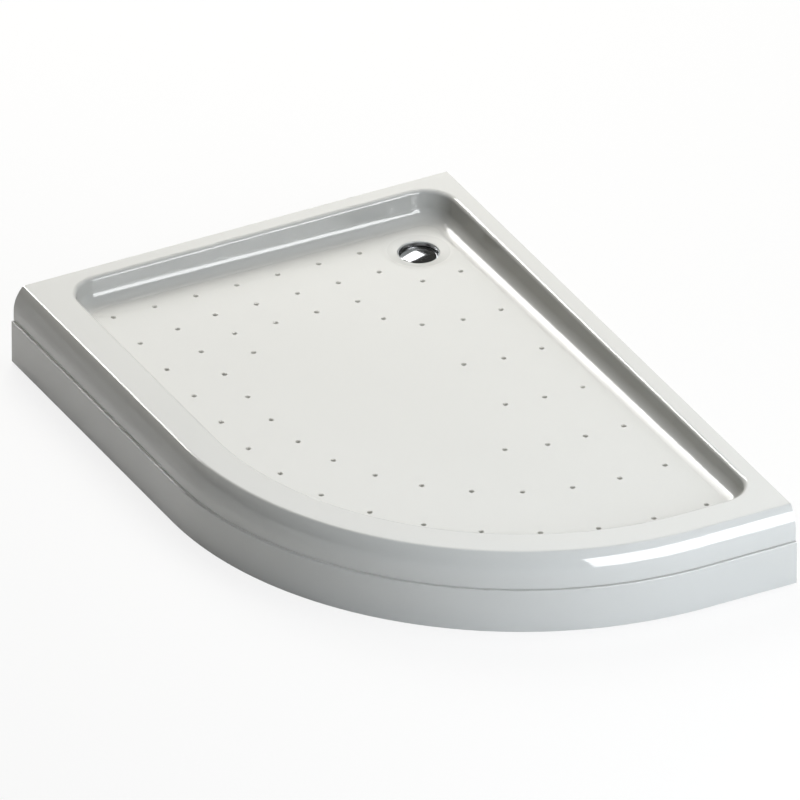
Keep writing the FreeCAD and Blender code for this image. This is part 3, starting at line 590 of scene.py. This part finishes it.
screw_places = []
for x, y in FEET:
    for along, across in ((-1, -1), (1, -1), (1, 1), (-1, 1)):
        screw_places.append((x + along * PLATE_REACH, y + across * PLATE_REACH, PLATE_LOW))
for post, way in BRACKETS:
    for back in BRACKET_SCREWS:
        screw_places.append((*(post - way * back), PLATE_LOW))
tree, given, sizes = rule(
    "pan_head_rule", Across=SCREW_HEAD_D, Drop=-SCREW_HEAD_H, Length=RECESS_L, Width=RECESS_W, Depth=RECESS_D,
    Shank=SHANK_D, Grip=SHANK_L,
)
size = given.outputs
head = dome(tree, size["Across"], size["Drop"], 24, 5, "TRIANGLE_FAN")
bars = []
for along, across in (("Length", "Width"), ("Width", "Length")):
    bar_size = {"X": size[along], "Y": size[across], "Z": size["Depth"]}
    box = node(tree, "ShaderNodeCombineXYZ", bar_size).outputs[0]
    bars.append(node(tree, "GeometryNodeMeshCube", {"Size": box}).outputs["Mesh"])
cross = node(tree, "GeometryNodeJoinGeometry")
for bar in bars:
    tree.links.new(bar, cross.inputs[0])
tip = node(tree, "ShaderNodeCombineXYZ", {"Z": size["Drop"]}).outputs[0]
lowered = node(tree, "GeometryNodeTransform", {"Geometry": cross.outputs[0], "Translation": tip}).outputs[0]
cut = node(tree, "GeometryNodeMeshBoolean", {0: head, 1: lowered}, operation="DIFFERENCE", solver="EXACT")
rod = node(
    tree, "GeometryNodeMeshCylinder",
    {"Vertices": 12, "Radius": sum_of(tree, "MULTIPLY", size["Shank"], 0.5), "Depth": size["Grip"]},
)
half_grip = sum_of(tree, "MULTIPLY", size["Grip"], 0.5)
half_way = node(tree, "ShaderNodeCombineXYZ", {"Z": half_grip}).outputs[0]
raised = {"Geometry": rod.outputs["Mesh"], "Translation": half_way}
shank = node(tree, "GeometryNodeTransform", raised).outputs[0]
screw = node(tree, "GeometryNodeJoinGeometry", {0: cut.outputs["Mesh"]})
tree.links.new(shank, screw.inputs[0])
screws = grow_rule(
    spots("wood_screws", screw_places), tree, sizes, screw.outputs[0], given.outputs["Geometry"], zinc
)
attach(screws, "tray")
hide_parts("foot_plate_screws", "bracket_screws")


# Waste and trap
# A chrome flange and its gaskets clamp the recess to a moulded trap, with a lift-out cup inside.
# The polished cover stands over the cup on three legs, and the outlet leaves under the long wall.

chrome = finish("polished_chrome", Metallic=1.0)
smear = grain(chrome, 60.0, detail=5.0)
tint(chrome, smear, (0.3, (0.56, 0.57, 0.58)), (0.7, (0.62, 0.63, 0.64)))
gloss(chrome, smear, 0.02, 0.07)
satin_chrome = finish("satin_chrome", Metallic=1.0)
polish = grain(satin_chrome, 90.0, detail=5.0, stretch=(1, 1, 6))
tint(satin_chrome, polish, (0.3, (0.55, 0.56, 0.57)), (0.7, (0.62, 0.63, 0.64)))
gloss(satin_chrome, polish, 0.2, 0.3)
cad["waste_flange"].data.materials[0] = satin_chrome

COVER_R = 31.0
COVER_TOP = 78.0
COVER_SHEET = 1.2
COVER_RIM = 2.0
COVER_DISH = 0.7
LEG_INNER = 19.4
LEG_OUTER = 23.0
LEG_WIDTH = 6.0
LEG_LOW = 70.6


def cover_height(reach):
    """The disc's upper face: a flat rim round a shallow dish."""
    share = min(1.0, reach / (COVER_R - COVER_RIM))
    return COVER_TOP - COVER_DISH * (1 - share**2)


def cover_mesh():
    """A pressed disc on three square legs."""
    mesh = bmesh.new()
    half = COVER_SHEET / 2
    reaches = [(COVER_R - COVER_RIM) * step / 12 for step in range(1, 13)]
    rings = [waste_ring(reach, cover_height(reach) - COVER_SHEET) for reach in reaches]
    for step in range(9):
        angle = math.radians(22.5 * step - 90)
        edge = COVER_R - half + half * math.cos(angle)
        rings.append(waste_ring(edge, COVER_TOP - half + half * math.sin(angle)))
    rings += [waste_ring(reach, cover_height(reach)) for reach in reversed(reaches)]
    made = skin_rings(mesh, rings)
    for ring, height in ((made[0], cover_height(0) - COVER_SHEET), (made[-1], cover_height(0))):
        middle = mesh.verts.new(Vector((WASTE.x, WASTE.y, height)) * MM)
        for k in range(len(ring)):
            mesh.faces.new((ring[k - 1], ring[k], middle))
    high = cover_height(LEG_INNER) - half
    corners = ((LEG_INNER, -1), (LEG_OUTER, -1), (LEG_OUTER, 1), (LEG_INNER, 1))
    for k in range(3):
        along = Vector((math.cos(math.radians(120 * k)), math.sin(math.radians(120 * k))))
        across = Vector((-along.y, along.x)) * LEG_WIDTH / 2
        foot = [WASTE + along * reach + across * side for reach, side in corners]
        leg = skin_rings(mesh, [[(p.x, p.y, z) for p in foot] for z in (LEG_LOW, high)])
        mesh.faces.new(leg[0])
        mesh.faces.new(leg[1])
    return mesh


cover = piece("chrome_cover", cover_mesh(), chrome)
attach(cover, "cover")
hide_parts("waste_cover")

rubber = finish("black_rubber", IOR=1.5)
bloom = grain(rubber, 400.0, detail=4.0)
tint(rubber, bloom, (0.3, (0.016, 0.016, 0.017)), (0.7, (0.034, 0.033, 0.032)))
gloss(rubber, bloom, 0.6, 0.8)
relief(rubber, bloom, 0.0001, 0.5)
for name in ("upper_gasket", "lower_gasket", "cup_o_ring", "outlet_seal"):
    cad[name].data.materials[0] = rubber

trap_plastic = finish("white_trap_plastic", IOR=1.49)
orange_peel = grain(trap_plastic, 500.0, detail=2.0)
tint(trap_plastic, grain(trap_plastic, 20.0), (0.3, (0.70, 0.70, 0.68)), (0.7, (0.76, 0.76, 0.74)))
gloss(trap_plastic, orange_peel, 0.28, 0.4)
relief(trap_plastic, orange_peel, 0.00008, 0.4)
for name in ("trap_body", "trap_outlet", "trap_cup", "outlet_union_nut"):
    cad[name].data.materials[0] = trap_plastic


# Apron panel
# A white acrylic channel closes the two front sides and the bow, 4 mm proud of the lip above it.
# It is formed from the same glossy sheet, and grey nylon clips on its back push over the brackets' posts.

APRON_LOW = 2.0
APRON_TOP = 79.0
APRON_T = 4.0
APRON_EDGE = 1.4
TOP_RETURN = 30.0
LOW_RETURN = 15.0


def along_front(inset, height):
    """Points along the front side, round the bow and along the right side."""
    points = [(-HALF_LENGTH, inset - HALF_WIDTH, height)]
    for step in range(BOW_STEPS + 1):
        angle = math.radians(270 + 90 * step / BOW_STEPS)
        place = BOW_CENTRE + Vector((math.cos(angle), math.sin(angle))) * (BOW_R - inset)
        points.append((place.x, place.y, height))
    points.append((HALF_LENGTH - inset, HALF_WIDTH, height))
    return points


profile = [(LOW_RETURN, APRON_LOW)]
for corner_height, start in ((APRON_LOW + APRON_EDGE, 270), (APRON_TOP - APRON_EDGE, 180)):
    for step in range(7):
        angle = math.radians(start - 15 * step)
        inset = APRON_EDGE + APRON_EDGE * math.cos(angle)
        profile.append((inset, corner_height + APRON_EDGE * math.sin(angle)))
profile += [
    (TOP_RETURN, APRON_TOP), (TOP_RETURN, APRON_TOP - APRON_T), (APRON_T, APRON_TOP - APRON_T),
    (APRON_T, APRON_LOW + APRON_T), (LOW_RETURN, APRON_LOW + APRON_T),
]
apron_mesh = bmesh.new()
lines = [[apron_mesh.verts.new(Vector(point) * MM) for point in along_front(*step)] for step in profile]
for one, two in zip(lines, lines[1:] + lines[:1]):
    for k in range(len(one) - 1):
        apron_mesh.faces.new((one[k], one[k + 1], two[k + 1], two[k]))
apron_mesh.faces.new([line[0] for line in lines])
apron_mesh.faces.new([line[-1] for line in lines])
apron = piece("apron_skirt", apron_mesh, acrylic)
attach(apron, "apron")
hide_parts("apron_panel")

nylon = finish("grey_nylon", IOR=1.53)
mould = grain(nylon, 350.0, detail=3.0)
tint(nylon, mould, (0.3, (0.42, 0.42, 0.42)), (0.7, (0.50, 0.50, 0.49)))
gloss(nylon, mould, 0.35, 0.5)
relief(nylon, mould, 0.0001, 0.4)
cad["apron_clips"].data.materials[0] = nylon


# Studio
# A white floor that sweeps up at its far edge, under three softboxes in a dim room: on the camera's right,
# behind the short wall and overhead. Bright cards show only as reflections in the gloss and in the chrome.

FLOOR_LOW = -0.5
FLOOR_R = 16500.0
SWEEP_REACH = 2000.0
SWEEP_HIGH = 1500.0
SWEEP_STEPS = 12
STUDIO_STEPS = 96
FLOOR_DULL = 0.72
FLOOR_GLOW = 0.85
ROOM_LIGHT = (0.052, 0.051, 0.047)
CHROME_CARDS = (50, 228, 318)

paint = bpy.data.materials.new("floor_paint")
paint.use_nodes = True
paint.cycles.emission_sampling = "NONE"
tree = paint.node_tree
tree.nodes.clear()
dull = node(tree, "ShaderNodeBsdfDiffuse", {"Color": (FLOOR_DULL, FLOOR_DULL, FLOOR_DULL, 1)}).outputs[0]
pale = node(tree, "ShaderNodeBsdfDiffuse", {"Color": (1, 1, 1, 1)}).outputs[0]
white = node(tree, "ShaderNodeEmission", {"Color": (1, 1, 1, 1), "Strength": 1.0}).outputs[0]
rays = node(tree, "ShaderNodeLightPath").outputs
mirrored = sum_of(tree, "MAXIMUM", rays["Is Glossy Ray"], rays["Is Transmission Ray"])
seen = sum_of(tree, "MAXIMUM", rays["Is Camera Ray"], mirrored)
shaded = node(tree, "ShaderNodeMixShader", {"Fac": FLOOR_GLOW, 1: pale, 2: white}).outputs[0]
mixed = node(tree, "ShaderNodeMixShader", {"Fac": seen, 1: dull, 2: shaded}).outputs[0]
underside = node(tree, "ShaderNodeNewGeometry").outputs["Backfacing"]
from_behind = sum_of(tree, "MULTIPLY", underside, rays["Is Camera Ray"])
clear = node(tree, "ShaderNodeBsdfTransparent").outputs[0]
one_sided = node(tree, "ShaderNodeMixShader", {"Fac": from_behind, 1: mixed, 2: clear}).outputs[0]
node(tree, "ShaderNodeOutputMaterial", {"Surface": one_sided})


def studio_ring(reach, height):
    turns = [2 * math.pi * step / STUDIO_STEPS for step in range(STUDIO_STEPS)]
    return [(reach * math.cos(turn), reach * math.sin(turn), height) for turn in turns]


def stage(name, mesh):
    """A piece of the studio, which faces up and inwards."""
    data = bpy.data.meshes.new(name)
    mesh.to_mesh(data)
    mesh.free()
    data.materials.append(paint)
    data.shade_smooth()
    made = bpy.data.objects.new(name, data)
    bpy.context.scene.collection.objects.link(made)
    return made


floor_mesh = bmesh.new()
floor_mesh.faces.new(skin_rings(floor_mesh, [studio_ring(FLOOR_R, FLOOR_LOW)])[0])
stage("studio_floor", floor_mesh)
sweep_mesh = bmesh.new()
sweep_rings = []
for step in range(SWEEP_STEPS + 1):
    angle = math.radians(90 * step / SWEEP_STEPS)
    height = FLOOR_LOW + SWEEP_HIGH * (1 - math.cos(angle))
    sweep_rings.append(studio_ring(FLOOR_R + SWEEP_REACH * math.sin(angle), height))
skin_rings(sweep_mesh, sweep_rings[::-1])
stage("studio_sweep", sweep_mesh).visible_diffuse = False

world = bpy.data.worlds.new("studio")
world.use_nodes = True
world.node_tree.nodes["Background"].inputs["Color"].default_value = (*ROOM_LIGHT, 1)
bpy.context.scene.world = world


def softbox(
    name, azimuth, elevation, distance, width, height, strength, colour, mirrored, roll=0.0, swing=0.0
):
    """A rectangular lamp that faces the tray, mirrored in gloss or lighting the dull share of a surface."""
    light = bpy.data.lights.new(name, "AREA")
    light.shape = "RECTANGLE"
    light.size = width
    light.size_y = height
    light.energy = strength * math.pi * width * height
    light.color = colour
    lamp = bpy.data.objects.new(name, light)
    turn, rise = math.radians(azimuth), math.radians(elevation)
    way = Vector((math.cos(rise) * math.cos(turn), math.cos(rise) * math.sin(turn), math.sin(rise)))
    lamp.location = way * distance
    turned = Quaternion((0, 1, 0), math.radians(swing)) @ Quaternion((0, 0, 1), math.radians(roll))
    lamp.rotation_euler = (way.to_track_quat("Z", "Y") @ turned).to_euler()
    lamp.visible_camera = False
    lamp.visible_glossy = mirrored
    lamp.visible_diffuse = not mirrored
    bpy.context.scene.collection.objects.link(lamp)
    return lamp


key = softbox("right_softbox", 13, 27, 2.5, 1.87, 1.48, 3.85, (0.88, 0.945, 1.0), False)
softbox("back_softbox", 163, 43, 4.2, 2.25, 1.97, 7.8, (1.0, 0.985, 0.93), False)
softbox("overhead_softbox", 90, 74, 3.5, 1.4, 1.4, 4.6, (1.0, 0.99, 0.95), False)
long_strip = softbox("right_reflection", 12, 14.3, 8.0, 5.6, 3.8, 12.0, (0.98, 0.99, 1.0), True)
softbox("left_reflection", 190, 37, 20.0, 12.3, 2.8, 15.0, (1.0, 1.0, 0.98), True)
sheen = softbox("sheen_reflection", 154.5, 31, 8.0, 4.4, 3.6, 1.6, (1.0, 1.0, 1.0), True)
waste_card = softbox("waste_reflection", 150.9, 30.6, 20.0, 2.1, 1.41, 3.6, (1.0, 1.0, 1.0), True, 45.9, 59.7)


def only_for(lamp, state, *pieces):
    """Lets a lamp reach these pieces alone, or all but these, as cards held in its way do."""
    held = bpy.data.collections.new(lamp.name + "_cards")
    lamp.light_linking.receiver_collection = held
    for made in pieces:
        held.objects.link(made)
    for link in held.collection_objects:
        link.light_linking.link_state = state


only_for(key, "EXCLUDE", bumps)
only_for(sheen, "EXCLUDE", cover, bumps)
only_for(long_strip, "EXCLUDE", cover)
only_for(waste_card, "INCLUDE", cover)
for azimuth in CHROME_CARDS:
    card = softbox(f"chrome_card_{azimuth}", azimuth, 30, 8.0, 7.5, 5.8, 0.32, (1.0, 1.0, 1.0), True)
    only_for(card, "INCLUDE", cover)
# The walls stand in deep shade beside the bright floor, so what the shell throws on itself is left out.
shell.visible_diffuse = False


# Camera
# A long lens from far off, at the photograph's angle, because its lines stay parallel.

AZIMUTH = 27.83
ELEVATION = 31.2
FRAME_WIDTH = 1.2912
LENS = 1280.0
SENSOR = 36.0
FRAME_LEFT = 0.0028
FRAME_UP = 0.0574
FARTHEST = 200.0

turn, rise = math.radians(AZIMUTH), math.radians(ELEVATION)
right = Vector((math.sin(turn), math.cos(turn), 0))
back = Vector((math.cos(turn) * math.cos(rise), -math.sin(turn) * math.cos(rise), math.sin(rise)))
up = back.cross(right)
centre = Vector((0, 0, TOP / 2)) * MM - right * FRAME_LEFT + up * FRAME_UP
view = bpy.data.cameras.new("photograph")
view.lens = LENS
view.sensor_width = SENSOR
view.clip_end = FARTHEST
camera = bpy.data.objects.new("photograph", view)
camera.location = centre + back * (FRAME_WIDTH * LENS / SENSOR)
camera.rotation_euler = back.to_track_quat("Z", "Y").to_euler()
bpy.context.scene.collection.objects.link(camera)
bpy.context.scene.camera = camera
bpy.context.scene.view_settings.view_transform = "Standard"
